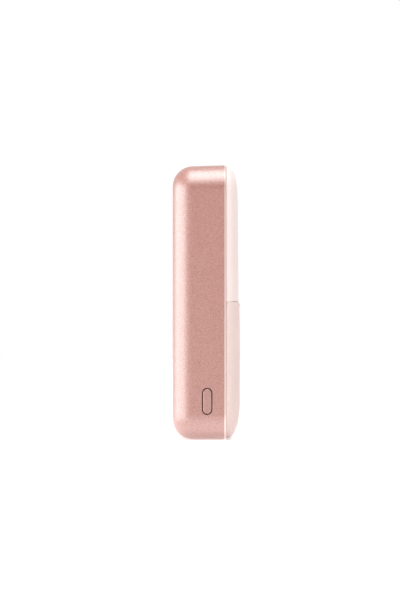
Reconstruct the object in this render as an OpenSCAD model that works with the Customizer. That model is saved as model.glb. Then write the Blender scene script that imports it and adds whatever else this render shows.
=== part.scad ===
// Pocket power bank: a metal-finished front shell, a domed back and a
// fold-out stand that makes up the lower half of the back.
// X is the thickness: the front face is at -X and the stand at +X.
// Y is the width, with the button on the -Y side. Z is the height.
// The origin is on the floor, under the middle of the body.

/* [Body] */
// Height of the body
body_h = 90; // [84:1:110]
// Width of the body
body_w = 60; // [56:1:76]
// Corner radius of the outline seen from the front
outline_r = 8; // [7.6:0.1:8.6]
// Depth of the front shell, from the front face to its rim
shell_depth = 17.6; // [17.2:0.05:20]
// Wall thickness of the front shell
wall = 1.3; // [1.1:0.05:1.5]
// Radius of the rounded edge round the front face
front_r = 6.5; // [5:0.1:7]
// Depth of the bright bevel on the rim
rim_bevel = 0.5; // [0.3:0.05:0.7]
// How far the bevel cuts in from the outside
rim_bevel_in = 0.3; // [0.2:0.05:0.4]
// How much lower the top end is at the front face than at the rim
top_slope = 0.5; // [0.3:0.05:0.8]

/* [Back] */
// Step from the outside of the shell to the outside of the back
back_inset = 0.4; // [0.3:0.05:0.6]
// How far the back stands behind the rim
back_rise = 3.95; // [3.6:0.05:4.4]
// How far the rounding of the back runs in from its edge
edge_sweep = 13; // [11:0.5:14]
// Fullness of that rounding: 2 is an ellipse, more is squarer
edge_fullness = 2.3; // [2:0.1:2.6]
// Wall thickness of the back
back_wall = 1.3; // [1.1:0.05:1.5]
// Thickness of the flat floor under the stand
floor_t = 1; // [0.8:0.05:1.3]
// Thickness of the lip that drops inside the shell
lip_t = 1.2; // [1:0.1:1.5]
// Depth of that lip below the rim
lip_depth = 1.6; // [1.4:0.1:2]
// Thickness of the stiffening ribs inside the back
rib_t = 1; // [0.8:0.1:1.4]
// Spacing of those ribs
rib_pitch = 9; // [7:0.5:10]
// Width of the two hooks at the top end of the back
hook_w = 6; // [4:0.5:9]
// How far the hooks reach into the wall of the shell
hook_in = 0.35; // [0.25:0.05:0.45]

/* [Stand] */
// Height of the seam between the back and the stand
seam_z = 45.3; // [43:0.1:48]
// Gap of that seam
seam_gap = 0.3; // [0.25:0.05:0.4]
// How far the stand stands proud of the back
stand_proud = 0.65; // [0.5:0.05:1]
// Wall thickness of the stand
stand_wall = 1.25; // [1.1:0.05:1.6]
// Gap between the stand and the rim of the shell
stand_lift = 0.2; // [0.15:0.05:0.3]
// Radius of the hinge barrel
hinge_r = 1.15; // [1.05:0.05:1.4]
// Length of the hinge barrel
hinge_l = 32; // [28:1:32]
// Radius of the hinge pin
pin_r = 0.5; // [0.4:0.05:0.6]
// Running clearance round the hinge pin
pin_gap = 0.05; // [0.03:0.01:0.08]
// Gap between knuckles, and round the fixed ones
knuckle_gap = 0.2; // [0.15:0.05:0.3]
// Thickness of the plate that closes the stand
liner_t = 1; // [0.8:0.1:1.3]
// Radius of the pads that carry the plate
pad_r = 1.6; // [1.2:0.1:2]
// Radius of the scoop for a fingernail
nail_r = 9; // [8:0.5:11]
// Height of that scoop
nail_h = 1.1; // [0.8:0.1:1.4]
// Radius of the holding magnet
magnet_r = 3; // [2.5:0.1:3.5]
// Thickness of the holding magnet
magnet_t = 1.4; // [1:0.1:1.6]
// Thickness of the steel disc that the magnet pulls
catch_t = 0.8; // [0.6:0.1:1]

/* [Button] */
// Height of the button's middle above the floor
button_z = 12.7; // [12.2:0.1:14]
// Length of the button
button_l = 8.2; // [7:0.1:9]
// Width of the button
button_w = 2.85; // [2.4:0.05:3.2]
// Gap round the button
button_gap = 0.3; // [0.2:0.05:0.35]
// Bevel round the button's face
button_bevel = 0.3; // [0.2:0.05:0.4]
// How far the button goes in
button_travel = 0.35; // [0.25:0.05:0.4]
// Width of the flange that keeps the button in
flange_w = 0.8; // [0.6:0.1:1]
// Thickness of that flange
flange_t = 0.8; // [0.6:0.1:1]

/* [Electronics] */
// Thickness of the circuit board
board_t = 1.2; // [1:0.1:1.6]
// Height of the circuit board's top edge above the floor
board_top = 33.4; // [32.8:0.1:33.8]
// Distance from the inner face of the front to the board
board_stand = 7.1; // [6.9:0.1:7.4]
// Sideways place of the large socket
usb_a_y = 9; // [8.6:0.1:10]
// Sideways place of the small socket
usb_c_y = -9; // [-10:0.1:-8.5]
// Radius of the screw posts
post_r = 2.6; // [2.4:0.1:2.8]
// Radius of the cover screws
screw_r = 1; // [0.9:0.05:1.1]
// Radius of the screw heads
head_r = 1.8; // [1.6:0.1:2]
// Thickness of the screw heads
head_t = 0.9; // [0.7:0.05:0.95]
// Radius of an indicator window
window_r = 0.8; // [0.6:0.05:1]
// Spacing of the indicator windows
window_pitch = 4; // [3:0.5:5]
// Height of the indicator windows above the floor
window_z = 10; // [8.5:0.5:12]

/* [Cells] */
// Thickness of the frame round the cells
frame_t = 1.2; // [1:0.1:1.6]
// Gap between a cell and the locating fins
cell_gap = 0.2; // [0.1:0.05:0.4]
// How far the cells stay clear of the inside of the walls
cell_margin = 3.7; // [3.4:0.1:4.5]
// Thickness of the tape between the cells
tape_t = 0.3; // [0.2:0.1:0.5]
// Radius of a battery lead
lead_r = 0.6; // [0.5:0.05:0.7]

/* [Hidden] */

// Colours
rose = "#c9998f";
pale_rose = "#e6cfca";
dark_plastic = "#3a3a3c";
steel = "#b9bcc0";

// Clearances between fixed pieces
fit = 0.1;
seat = 0.05;

// Planes across the thickness
half_w = body_w / 2;
half_h = body_h / 2;
body_d = shell_depth + back_rise + stand_proud;
front_x = -body_d / 2;
inner_x = front_x + wall;
rim_x = front_x + shell_depth;
floor_x = rim_x - floor_t;
back_x = rim_x + back_rise;
stand_x = back_x + stand_proud;
board_x = inner_x + board_stand;
parts_x = board_x + board_t;

// Outline of the back and of the cavity in the shell
back_w = half_w - back_inset;
back_h = half_h - back_inset;
back_r = outline_r - back_inset;
cavity_w = half_w - wall;
cavity_h = half_h - wall;
cavity_r = outline_r - wall;

// Hooks at the top end
hook_y = half_w - 16;
hook_t = 0.7;

// Seam and hinge
seam_top = seam_z + seam_gap / 2;
seam_low = seam_z - seam_gap / 2;
hinge_x = stand_x - hinge_r;
hinge_z = seam_low - hinge_r;
swing_r = hinge_x - rim_x - stand_lift;
knuckles = 5;
knuckle_l = hinge_l / knuckles;
pin_end = 0.8;
fixed_knuckles = [-1, 1];
liner_x = rim_x + 1.5 * stand_lift;
liner_rear = liner_x + liner_t;
liner_in = stand_wall + fit + dome_inset(
    liner_rear - rim_x, back_rise + stand_proud - stand_wall, edge_sweep - stand_wall
);
pad_y = half_w - 12;
pad_z = [10, hinge_z - 9];
magnet_z = back_inset + stand_wall + edge_sweep / 2 + magnet_r;

// Button and switch
button_x = parts_x + 1.7;
flange_y = -cavity_w + seat;
plunger_l = 0.6;
plunger_w = 1.2;
plunger_h = 2;
stem_y = flange_y + flange_t + plunger_l;
switch_y = stem_y + 0.8;
switch_d = 3.4;
switch_h = 3.4;
switch_w = 6;
stem_w = 1.3;
stem_l = 2.6;
stem_in = 1.6;

// Sockets
socket_z = 0.6;
socket_gap = 0.15;
usb_t = 0.3;
usb_a_w = 13.1;
usb_a_h = 5.7;
usb_a_l = 14;
usb_c_w = 8.94;
usb_c_h = 3.16;
usb_c_l = 7.3;
usb_c_x = parts_x + usb_c_h / 2;
tongue_w = 11.1;
tongue_t = 1.8;
tongue_x = parts_x + usb_t + 0.35;
tongue_z = socket_z + 1.6;
socket_end = socket_z + usb_a_l - usb_t;
block_t = 2.5;
contact_n = 4;
contact_pitch = 2.3;
contact_w = 1;
contact_t = 0.2;
contact_z = tongue_z + 0.6;
usb_c_tongue_w = 6.6;
usb_c_tongue_t = 0.7;
usb_c_block_t = 1.4;
usb_c_end = usb_c_l - usb_t;

// Coil, chips, capacitors and lights on the board
coil_w = 7;
coil_t = 4;
coil_z = board_top - 9;
chip_y = 9;
chip_z = board_top - 8;
chip_w = 5;
chip_t = 1;
driver_w = 4;
driver_t = 1.5;
capacitor_n = 3;
capacitor_pitch = 3;
capacitor_y = 14.5;
capacitor_z = board_top - 12;
capacitor_w = 2;
capacitor_h = 1.2;
capacitor_t = 0.9;
led_w = 1.6;
led_h = 1.2;
led_t = 0.8;
guide_x = board_x - 1;
guide_t = 1.4;
guide_h = 2;

// Screw posts: sideways place and height of each
post_low = [half_w - 9.5, 6];
post_high = [half_w - 7, board_top - 4.4];
posts = [
    for (s = [-1, 1]) [s * post_low[0], post_low[1]],
    for (s = [-1, 1]) [s * post_high[0], post_high[1]]
];
screw_gap = 0.15;
screw_bite = 5;
head_x = rim_x - head_t;
slot_l = 2;
slot_w = 0.4;
board_margin = 1.7;
board_z = wall + 0.7;

// Frame, cells and their connections
frame_x = front_x + front_r + 0.1;
frame_rear = floor_x - fit;
shelf_z = board_top + 0.8;
cells_w = cavity_w - cell_margin;
cells_x = inner_x + 0.3;
cells_rear = floor_x - 0.35;
cell_t = (cells_rear - cells_x - tape_t) / 2;
rear_cell_x = cells_x + cell_t + tape_t;
guard_z = shelf_z + frame_t;
guard_t = 0.8;
tab_l = 2.2;
cell_z = guard_z + guard_t + tab_l;
cell_top = body_h - wall - cell_margin - 0.2;
cell_r = 2.5;
pad_margin = 4;
pad_t = 1;
tab_y = 10;
tab_w = 5;
tab_t = 0.2;
guard_w = 40;
guard_over = 1;
fin_h = 4;
fin_n = 3;
lead_y = 5;
lead_x = parts_x + lead_r + seat;
lead_z = board_top - 4.5;
window_n = 4;

edge_steps = 10;
crown_steps = 6;
$fn = 48;
eps = 0.01;

// Edge of the shell as [x, inset] points: a quarter round of radius r from
// x0, then straight on to x1
function round_edge(x0, r, x1) = concat(
    [for (i = [0 : edge_steps]) let (a = 90 * i / edge_steps)
        [x0 + r * (1 - cos(a)), r * (1 - sin(a))]],
    [[x1, 0]]
);

// Part of a quarter superellipse from angle a0 to a1: it rises by rise over
// an inset of sweep
function dome_edge(x0, rise, sweep, a0, a1, steps) = [
    for (i = [0 : steps]) let (a = a0 + (a1 - a0) * i / steps, n = 2 / edge_fullness)
        [x0 + rise * pow(sin(a), n), sweep * (1 - pow(cos(a), n))]
];

// How far that edge has come in at a given rise
function dome_inset(up, rise, sweep) =
    sweep * (1 - pow(1 - pow(up / rise, edge_fullness), 1 / edge_fullness));

// Angle at which it has come in by the corner radius
function corner_angle(r, sweep) = acos(pow(1 - r / sweep, edge_fullness / 2));

// Half outline of a corner, as [radius, x] points closed on its axis
function corner_outline(r, edge) = concat(
    [[0, edge[0][0]]],
    [for (p = edge) if (r - p[1] > eps) [r - p[1], p[0]]],
    [[0, edge[len(edge) - 1][0]]]
);

// Section through the whole cushion at its middle
module cushion_section(half, edge) {
    last = len(edge) - 1;
    polygon(concat(
        [for (p = edge) [p[0], half - p[1]]],
        [for (i = [0 : last]) [edge[last - i][0], edge[last - i][1] - half]]
    ));
}

// Rounded cushion round the middle of the body. Its outline has half width w,
// half height h and corner radius r, and draws in along edge, then along crown
module cushion(w, h, r, edge, crown = []) {
    whole = concat(edge, crown);
    translate([0, 0, half_h]) {
        intersection() {
            along_y(2 * (w - r)) cushion_section(h, whole);
            along_z(2 * h) cushion_section(w, whole);
        }
        intersection() {
            along_y(2 * w) cushion_section(h, whole);
            along_z(2 * (h - r)) cushion_section(w, whole);
        }
        for (k = [0 : 3])
            translate([0, (k < 2 ? 1 : -1) * (w - r), (k % 3 == 0 ? -1 : 1) * (h - r)])
                rotate([90 * k, 0, 0])
                    rotate([0, 90, 0])
                        rotate_extrude(angle = 90) polygon(corner_outline(r, edge));
    }
}

module along_y(l) {
    rotate([90, 0, 0]) linear_extrude(height = l, center = true) children();
}

module along_z(l) {
    linear_extrude(height = l, center = true) children();
}

// Domed cushion behind the rim: outline w by h, corner radius r, rise and sweep
module dome(w, h, r, rise, sweep) {
    a = corner_angle(r, sweep);
    crown = dome_edge(rim_x, rise, sweep, a, 90, crown_steps);
    cushion(
        w, h, r,
        dome_edge(rim_x, rise, sweep, 0, a, edge_steps),
        [for (i = [1 : crown_steps]) crown[i]]
    );
}

// Flat plate from x0 to x1 with a rounded outline in Y and Z
module plate(x0, x1, w, z0, z1, r) {
    translate([x0, 0, 0]) rotate([90, 0, 90]) linear_extrude(height = x1 - x0)
        rounded(w, z0, z1, r);
}

module rounded(w, z0, z1, r) {
    for (s = [-1, 1])
        for (z = [z0 + r, z1 - r])
            translate([s * (w - r), z]) circle(r);
    translate([r - w, z0]) square([2 * (w - r), z1 - z0]);
    translate([-w, z0 + r]) square([2 * w, z1 - z0 - 2 * r]);
}

// Long hole or key of width w and length l, standing along Z, from y0 to y1
module pill(w, l, y0, y1) {
    straight = (l - w) / 2;
    for (s = [-1, 1])
        translate([0, y0, s * straight]) rotate([-90, 0, 0]) cylinder(r = w / 2, h = y1 - y0);
    translate([-w / 2, y0, -straight]) cube([w, y1 - y0, 2 * straight]);
}

// Box from one corner to the other
module block(low, high) {
    translate(low) cube(high - low);
}

// Round bar along X
module bar_x(r, x0, x1) {
    translate([x0, 0, 0]) rotate([0, 90, 0]) cylinder(r = r, h = x1 - x0);
}

// Round bar along the hinge axis, l long and centred on y
module hinge_bar(r, l, y = 0) {
    translate([hinge_x, y, hinge_z]) rotate([90, 0, 0]) cylinder(r = r, h = l, center = true);
}

module front_shell() color(rose) {
    difference() {
        cushion(
            half_w, half_h, outline_r,
            concat(round_edge(front_x, front_r, rim_x - rim_bevel), [[rim_x, rim_bevel_in]])
        );
        difference() {
            cushion(cavity_w, cavity_h, cavity_r, round_edge(inner_x, front_r - wall, rim_x + wall));
            translate([0, 0, -wall]) top_end_cut();
        }
        top_end_cut();
        hooks(body_h - wall - top_slope - fit, body_h - wall + hook_in + fit, fit);
        translate([button_x, 0, button_z])
            pill(
                button_w + 2 * button_gap, button_l + 2 * button_gap,
                -half_w - wall, -cavity_w + wall / 2
            );
        usb_a_hole();
        usb_c_hole();
        windows(window_r, front_x - 1, inner_x + 1);
    }
    difference() {
        for (p = posts)
            translate([0, p[0], p[1]]) bar_x(post_r, inner_x - 0.2, board_x);
        for (p = posts)
            translate([0, p[0], p[1]])
                bar_x(screw_r - screw_gap, board_x - screw_bite, board_x + eps);
    }
}

// The top end falls slightly towards the front face
module top_end_cut() {
    along_y(body_w + 2) polygon([
        [front_x - 1, body_h - top_slope],
        [front_x, body_h - top_slope],
        [rim_x - rim_bevel, body_h],
        [rim_x, body_h],
        [rim_x, body_h + 2 * wall],
        [front_x - 1, body_h + 2 * wall]
    ]);
}

// Two hooks at the top end of the back, or with a gap their pockets in the shell
module hooks(z0, z1, gap = 0) {
    for (s = [-1, 1])
        block(
            [rim_x - lip_depth - gap, s * hook_y - hook_w / 2 - gap, z0],
            [rim_x - lip_depth + hook_t + gap, s * hook_y + hook_w / 2 + gap, z1]
        );
}

module usb_a_hole() {
    block(
        [parts_x - socket_gap, usb_a_y - usb_a_w / 2 - socket_gap, -1],
        [parts_x + usb_a_h + socket_gap, usb_a_y + usb_a_w / 2 + socket_gap, wall + 1]
    );
}

module usb_c_hole() {
    translate([usb_c_x, usb_c_y, -1])
        socket_outline(usb_c_h + 2 * socket_gap, usb_c_w + 2 * socket_gap, wall + 2);
}

// Long round-ended outline in X and Y, l tall
module socket_outline(h, w, l) {
    for (s = [-1, 1])
        translate([0, s * (w - h) / 2, 0]) cylinder(r = h / 2, h = l);
    translate([-h / 2, -(w - h) / 2, 0]) cube([h, w - h, l]);
}

module windows(r, x0, x1) {
    for (i = [0 : window_n - 1])
        translate([0, (i - (window_n - 1) / 2) * window_pitch, window_z]) bar_x(r, x0, x1);
}

module back_cover() color(pale_rose) {
    difference() {
        union() {
            back_shell();
            for (p = posts)
                translate([0, p[0], p[1]]) bar_x(post_r, parts_x, floor_x + eps);
        }
        for (p = posts)
            translate([0, p[0], p[1]]) {
                bar_x(head_r + screw_gap, head_x, rim_x + 1);
                bar_x(screw_r + screw_gap, parts_x - 1, rim_x);
            }
    }
    ribs();
    hooks(body_h - wall - top_slope - fit - eps, body_h - wall + hook_in);
    for (k = fixed_knuckles)
        fixed_knuckle(k * knuckle_l);
}

module back_shell() {
    difference() {
        union() {
            intersection() {
                dome(back_w, back_h, back_r, back_rise, edge_sweep);
                block([rim_x - 1, -body_w, seam_top], [back_x + 1, body_w, body_h]);
            }
            plate(
                rim_x - lip_depth, rim_x, cavity_w - fit,
                wall + fit, body_h - wall - fit - top_slope, cavity_r - fit
            );
        }
        back_cavity();
        lip_pocket();
    }
}

// Hollow of the upper half, open towards the shell
module back_cavity() {
    w = cavity_w - fit - lip_t;
    h = cavity_h - fit - lip_t;
    r = cavity_r - fit - lip_t;
    intersection() {
        union() {
            dome(w, h, r, back_rise - back_wall, edge_sweep - back_wall);
            plate(rim_x - lip_depth - 1, rim_x + eps, w, half_h - h, half_h + h, r);
        }
        block(
            [rim_x - lip_depth - 2, -body_w, seam_top + back_wall],
            [back_x, body_w, body_h]
        );
    }
}

// Inside the lip everything below the floor is open
module lip_pocket() {
    h = cavity_h - fit - lip_t;
    plate(
        rim_x - lip_depth - 1, floor_x, cavity_w - fit - lip_t,
        half_h - h, half_h + h, cavity_r - fit - lip_t
    );
}

// Upright ribs that press on the pad behind the cells
module ribs() {
    rib_x = cells_rear + pad_t + fit;
    intersection() {
        dome(
            cavity_w - fit - lip_t + eps, cavity_h - fit - lip_t + eps,
            cavity_r - fit - lip_t, back_rise - back_wall + eps, edge_sweep - back_wall
        );
        for (i = [-2 : 2])
            block(
                [max(rib_x, rim_x + eps), i * rib_pitch - rib_t / 2, seam_top + back_wall - eps],
                [back_x, i * rib_pitch + rib_t / 2, body_h]
            );
    }
}

module fixed_knuckle(y) {
    difference() {
        union() {
            hinge_bar(hinge_r, knuckle_l - knuckle_gap, y);
            block(
                [hinge_x - hinge_r + 0.2, y - (knuckle_l - knuckle_gap) / 2, hinge_z],
                [back_x, y + (knuckle_l - knuckle_gap) / 2, seam_top + eps]
            );
        }
        hinge_bar(pin_r + pin_gap, knuckle_l + 1, y);
    }
}

module stand_flap() color(pale_rose) {
    difference() {
        union() {
            intersection() {
                flap_shell();
                block(
                    [rim_x + stand_lift, -body_w, -1],
                    [stand_x + 1, body_w, seam_low]
                );
            }
            hinge_bar(hinge_r, hinge_l);
            for (s = [-1, 1])
                for (z = pad_z)
                    translate([0, s * pad_y, z]) bar_x(pad_r, liner_rear, stand_x - stand_wall / 2);
        }
        swing_cut();
        for (k = fixed_knuckles)
            knuckle_notch(k * knuckle_l);
        hinge_bar(pin_r + pin_gap, hinge_l - pin_end);
        translate([0, 0, back_inset + nail_h - nail_r])
            bar_x(nail_r, rim_x, rim_x + stand_lift + stand_wall);
    }
}

// Domed shell of the stand, closed towards the hinge by a wall
module flap_shell() {
    rise = back_rise + stand_proud;
    difference() {
        dome(back_w, back_h, back_r, rise, edge_sweep);
        intersection() {
            dome(
                back_w - stand_wall, back_h - stand_wall, back_r - stand_wall,
                rise - stand_wall, edge_sweep - stand_wall
            );
            block([rim_x - 1, -body_w, -1], [stand_x, body_w, hinge_z - hinge_r]);
        }
    }
}

// Above the axis the stand keeps inside the circles that it turns on
module swing_cut() {
    top = seam_low + 1;
    difference() {
        block([hinge_x, -body_w, hinge_z], [stand_x + 2, body_w, top]);
        hinge_bar(hinge_r, 2 * body_w + 2);
    }
    difference() {
        block([rim_x - 1, -body_w, hinge_z], [hinge_x, body_w, top]);
        hinge_bar(swing_r, 2 * body_w + 2);
    }
}

module knuckle_notch(y) {
    l = knuckle_l + knuckle_gap;
    hinge_bar(hinge_r + knuckle_gap, l, y);
    block(
        [rim_x - 1, y - l / 2, hinge_z],
        [stand_x + 1, y + l / 2, seam_low + 1]
    );
}

module stand_liner() color(pale_rose)
    plate(
        liner_x, liner_rear, back_w - liner_in,
        back_inset + liner_in, hinge_z - hinge_r - fit, back_r - liner_in
    );

module hinge_pin() color(steel) hinge_bar(pin_r, hinge_l - pin_end - 2 * pin_gap);

module stand_magnet() color(steel)
    translate([0, 0, magnet_z]) bar_x(magnet_r, liner_rear, liner_rear + magnet_t);

module catch_disc() color(steel)
    translate([0, 0, magnet_z]) bar_x(magnet_r, floor_x - catch_t, floor_x);

module side_button() color(rose) translate([button_x, 0, button_z]) {
    pill(button_w, button_l, -half_w + button_bevel, flange_y + eps);
    pill(button_w - 2 * button_bevel, button_l - 2 * button_bevel, -half_w, -half_w + 1);
    button_rim();
    pill(button_w + 2 * flange_w, button_l + 2 * flange_w, flange_y, flange_y + flange_t);
    block([-plunger_w / 2, flange_y, -plunger_h / 2], [plunger_w / 2, stem_y, plunger_h / 2]);
}

// Bevel round the face of the button, in three steps
module button_rim() {
    for (i = [1 : 2])
        pill(
            button_w - 2 * button_bevel * (1 - i / 3), button_l - 2 * button_bevel * (1 - i / 3),
            -half_w + button_bevel * (1 - sqrt(1 - (i / 3) * (i / 3))) + eps, -half_w + 1
        );
}

module switch_stem() color(dark_plastic) translate([button_x, 0, button_z])
    block([-stem_w / 2, stem_y, -stem_l / 2], [stem_w / 2, switch_y + stem_in, stem_l / 2]);

module switch_body() color(steel) translate([0, 0, button_z])
    difference() {
        block(
            [parts_x, switch_y, -switch_w / 2],
            [parts_x + switch_h, switch_y + switch_d, switch_w / 2]
        );
        translate([button_x, 0, 0]) block(
            [-stem_w / 2 - seat, switch_y - 1, -stem_l / 2 - seat],
            [stem_w / 2 + seat, switch_y + stem_in + button_travel + fit, stem_l / 2 + seat]
        );
    }

module circuit_board() color("#1f6b45")
    difference() {
        plate(
            board_x, parts_x, cavity_w - board_margin,
            board_z, board_top, cavity_r - board_margin
        );
        for (p = posts)
            translate([0, p[0], p[1]]) bar_x(screw_r + screw_gap, board_x - 1, parts_x + 1);
    }

module usb_a_shell() color(steel)
    difference() {
        block(
            [parts_x, usb_a_y - usb_a_w / 2, socket_z],
            [parts_x + usb_a_h, usb_a_y + usb_a_w / 2, socket_z + usb_a_l]
        );
        block(
            [parts_x + usb_t, usb_a_y - usb_a_w / 2 + usb_t, socket_z - 1],
            [parts_x + usb_a_h - usb_t, usb_a_y + usb_a_w / 2 - usb_t, socket_z + usb_a_l - usb_t]
        );
    }

module usb_a_tongue() color("#f2f2f0") {
    block(
        [tongue_x, usb_a_y - tongue_w / 2, tongue_z],
        [tongue_x + tongue_t, usb_a_y + tongue_w / 2, socket_end - block_t + eps]
    );
    block(
        [parts_x + usb_t, usb_a_y - usb_a_w / 2 + usb_t, socket_end - block_t],
        [parts_x + usb_a_h - usb_t, usb_a_y + usb_a_w / 2 - usb_t, socket_end]
    );
}

// Four spring strips on the tongue
module usb_a_contacts() color("#d8b45a")
    for (i = [0 : contact_n - 1])
        translate([tongue_x + tongue_t, usb_a_y + (i - (contact_n - 1) / 2) * contact_pitch, 0])
            block(
                [0, -contact_w / 2, contact_z],
                [contact_t, contact_w / 2, socket_end - block_t]
            );

module usb_c_shell() color(steel) translate([usb_c_x, usb_c_y, socket_z])
    difference() {
        socket_outline(usb_c_h, usb_c_w, usb_c_l);
        translate([0, 0, -1])
            socket_outline(usb_c_h - 2 * usb_t, usb_c_w - 2 * usb_t, usb_c_l + 1 - usb_t);
    }

module usb_c_tongue() color(dark_plastic) translate([usb_c_x, usb_c_y, socket_z]) {
    block(
        [-usb_c_tongue_t / 2, -usb_c_tongue_w / 2, 1],
        [usb_c_tongue_t / 2, usb_c_tongue_w / 2, usb_c_end - 1]
    );
    translate([0, 0, usb_c_end - usb_c_block_t])
        socket_outline(usb_c_h - 2 * usb_t, usb_c_w - 2 * usb_t, usb_c_block_t);
}

module power_inductor() color("#55565a") translate([parts_x, 0, coil_z])
    block([0, -coil_w / 2, -coil_w / 2], [coil_t, coil_w / 2, coil_w / 2]);

module controller_chips() color("#2b2b2d") {
    translate([parts_x, -chip_y, chip_z])
        block([0, -chip_w / 2, -chip_w / 2], [chip_t, chip_w / 2, chip_w / 2]);
    translate([parts_x, chip_y, chip_z])
        block([0, -driver_w / 2, -chip_w / 2], [driver_t, driver_w / 2, chip_w / 2]);
}

// Small chip capacitors on either side of the coil
module capacitors() color("#b08a5a")
    for (s = [-1, 1])
        for (i = [0 : capacitor_n - 1])
            translate([parts_x, s * capacitor_y, capacitor_z + capacitor_pitch * i])
                block(
                    [0, -capacitor_w / 2, -capacitor_h / 2],
                    [capacitor_t, capacitor_w / 2, capacitor_h / 2]
                );

module indicator_leds() color("#f4f4ec")
    for (i = [0 : window_n - 1])
        translate([board_x, (i - (window_n - 1) / 2) * window_pitch, window_z])
            block([-led_t, -led_w / 2, -led_h / 2], [0, led_w / 2, led_h / 2]);

// Clear rods that carry the light to the windows, joined by a bar
module light_guide() color("#e9eef0") {
    windows(window_r - seat, front_x + fit, guide_x - guide_t / 2);
    half = (window_n - 1) / 2 * window_pitch + window_r;
    block([guide_x - guide_t, -half, window_z - guide_h / 2], [guide_x, half, window_z + guide_h / 2]);
}

module pouch(x0, x1) {
    plate(x0, x1, cells_w, cell_z, cell_top, cell_r);
}

module front_cell() color("#c9ced2") pouch(cells_x, cells_x + cell_t);

module rear_cell() color("#c9ced2") pouch(rear_cell_x, cells_rear);

module cell_tape() color("#e6e2c8")
    plate(
        cells_x + cell_t, rear_cell_x, cells_w - pad_margin,
        cell_z + pad_margin, cell_top - pad_margin, cell_r
    );

module cell_pad() color("#4a4a4c")
    plate(
        cells_rear, cells_rear + pad_t, cells_w - pad_margin,
        seam_top + back_wall + 1, cell_top - pad_margin, cell_r
    );

// Two flat tabs from each cell down to the protection board
module cell_tabs() color("#cfcfd2")
    for (x = [cells_x + cell_t / 2, rear_cell_x + cell_t / 2])
        for (s = [-1, 1])
            translate([x, s * tab_y, 0])
                block([-tab_t / 2, -tab_w / 2, guard_z + guard_t], [tab_t / 2, tab_w / 2, cell_z]);

module protection_board() color("#1f6b45")
    block(
        [cells_x + cell_t / 2 - guard_over, -guard_w / 2, guard_z],
        [rear_cell_x + cell_t / 2 + guard_over, guard_w / 2, guard_z + guard_t]
    );

module lead(y) translate([lead_x, y, lead_z]) cylinder(r = lead_r, h = guard_z - lead_z);

module positive_lead() color("#b33a32") lead(lead_y);

module negative_lead() color("#2b2b2d") lead(-lead_y);

// Frame that holds the cells in the shell, with a shelf above the board
module cell_frame() color(dark_plastic) {
    w = cavity_w - fit;
    top = body_h - wall - fit - top_slope;
    difference() {
        plate(frame_x, frame_rear - lip_depth + floor_t, w, shelf_z - cavity_r, top, cavity_r - fit);
        plate(
            frame_x - 1, frame_rear + 1, w - frame_t,
            shelf_z - 2 * cavity_r, top - frame_t, cavity_r - fit - frame_t
        );
        block([frame_x - 1, -body_w, -1], [frame_rear + 1, body_w, shelf_z]);
    }
    difference() {
        block(
            [frame_x, -w + frame_t / 2, shelf_z],
            [frame_rear - lip_depth + floor_t, w - frame_t / 2, guard_z]
        );
        for (s = [-1, 1])
            translate([lead_x, s * lead_y, shelf_z - 1]) cylinder(r = lead_r + fit, h = frame_t + 2);
    }
    fins(w);
}

// Short fins that keep the cells in the middle
module fins(w) {
    for (s = [-1, 1])
        for (i = [1 : fin_n]) {
            z = cell_z + (cell_top - cell_z) * i / (fin_n + 1);
            low = min(s * (cells_w + cell_gap), s * (w - frame_t / 2));
            high = max(s * (cells_w + cell_gap), s * (w - frame_t / 2));
            block(
                [frame_x, low, z - fin_h / 2],
                [frame_rear - lip_depth + floor_t, high, z + fin_h / 2]
            );
        }
}

module cover_screws() color(steel)
    for (p = posts)
        translate([0, p[0], p[1]]) {
            bar_x(screw_r, parts_x, head_x + eps);
            bar_x(screw_r - screw_gap - seat, board_x - screw_bite + 0.3, parts_x + eps);
            difference() {
                bar_x(head_r, head_x, rim_x - seat);
                cross_slot();
            }
        }

module cross_slot() {
    for (a = [0, 90])
        rotate([a, 0, 0])
            block([rim_x - head_t / 2, -slot_l / 2, -slot_w / 2], [rim_x + 1, slot_l / 2, slot_w / 2]);
}

front_shell();
back_cover();
stand_flap();
stand_liner();
hinge_pin();
stand_magnet();
catch_disc();
side_button();
switch_stem();
switch_body();
circuit_board();
usb_a_shell();
usb_a_tongue();
usb_a_contacts();
usb_c_shell();
usb_c_tongue();
power_inductor();
controller_chips();
capacitors();
indicator_leds();
light_guide();
front_cell();
rear_cell();
cell_tape();
cell_pad();
cell_tabs();
protection_board();
positive_lead();
negative_lead();
cell_frame();
cover_screws();
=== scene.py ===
"""Surfaces, finishes and studio of a pocket power bank with a fold-out stand."""

import math

import bmesh
import bpy
import numpy as np
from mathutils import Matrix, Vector


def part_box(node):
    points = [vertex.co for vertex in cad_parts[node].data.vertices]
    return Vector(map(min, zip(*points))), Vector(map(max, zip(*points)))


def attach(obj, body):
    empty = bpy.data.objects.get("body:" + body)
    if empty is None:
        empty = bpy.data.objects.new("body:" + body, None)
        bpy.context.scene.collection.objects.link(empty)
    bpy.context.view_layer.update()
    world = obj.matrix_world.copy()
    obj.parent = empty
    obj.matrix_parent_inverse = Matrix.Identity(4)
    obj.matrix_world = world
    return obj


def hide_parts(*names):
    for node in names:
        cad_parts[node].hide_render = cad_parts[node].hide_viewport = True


bl_info = {
    "name": "Pocket Power Bank",
    "version": (1, 0, 0),
    "blender": (4, 5, 0),
    "location": "View3D > Sidebar > Power Bank",
    "description": "Builds the outer skins, finishes and studio of a pocket power bank",
    "category": "Object",
}

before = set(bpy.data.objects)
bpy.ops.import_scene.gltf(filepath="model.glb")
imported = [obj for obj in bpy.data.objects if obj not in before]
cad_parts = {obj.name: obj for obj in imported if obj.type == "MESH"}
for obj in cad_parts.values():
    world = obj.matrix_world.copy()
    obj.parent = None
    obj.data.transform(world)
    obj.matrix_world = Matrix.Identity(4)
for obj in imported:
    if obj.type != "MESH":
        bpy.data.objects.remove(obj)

MM = 0.001
LOW, HIGH = 0, 1
X, Y, Z = 0, 1, 2


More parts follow.
